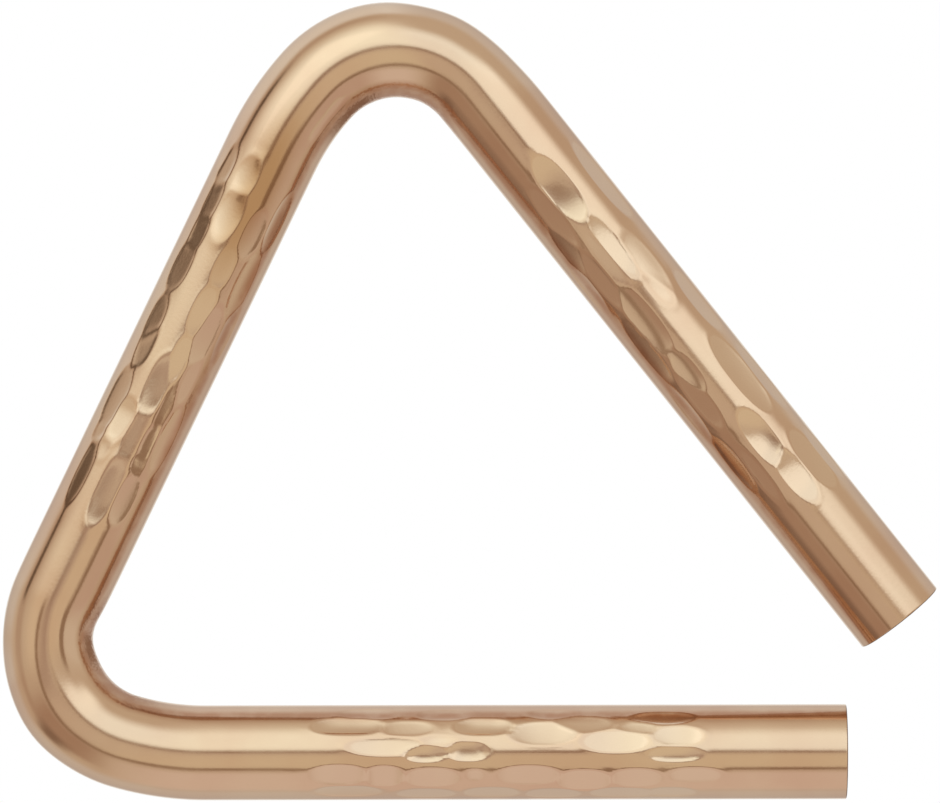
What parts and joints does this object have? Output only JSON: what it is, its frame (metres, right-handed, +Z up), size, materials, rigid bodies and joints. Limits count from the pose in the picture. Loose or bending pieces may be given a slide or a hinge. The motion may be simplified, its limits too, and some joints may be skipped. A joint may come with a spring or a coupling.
{
  "type": "triangle instrument",
  "caption": "Hammered bronze triangle instrument: a round bar bent to a triangle with an open corner, hung from its top bend and struck to ring.",
  "frame": {"origin": "inside of the top bend, in the middle plane of the bar, where a hanging loop bears", "axes": "+X along the base bar towards the open corner, +Z up, -Y towards the viewer of the picture"},
  "size_m": [0.1095, 0.011, 0.0935],
  "materials": {
    "bronze": "satin bare bronze, drawn lines on the bends and ends, hammer marks on the straight runs"
  },
  "bodies": {
    "root": {"triangle_bar": "bronze"}
  },
  "joints": []
}
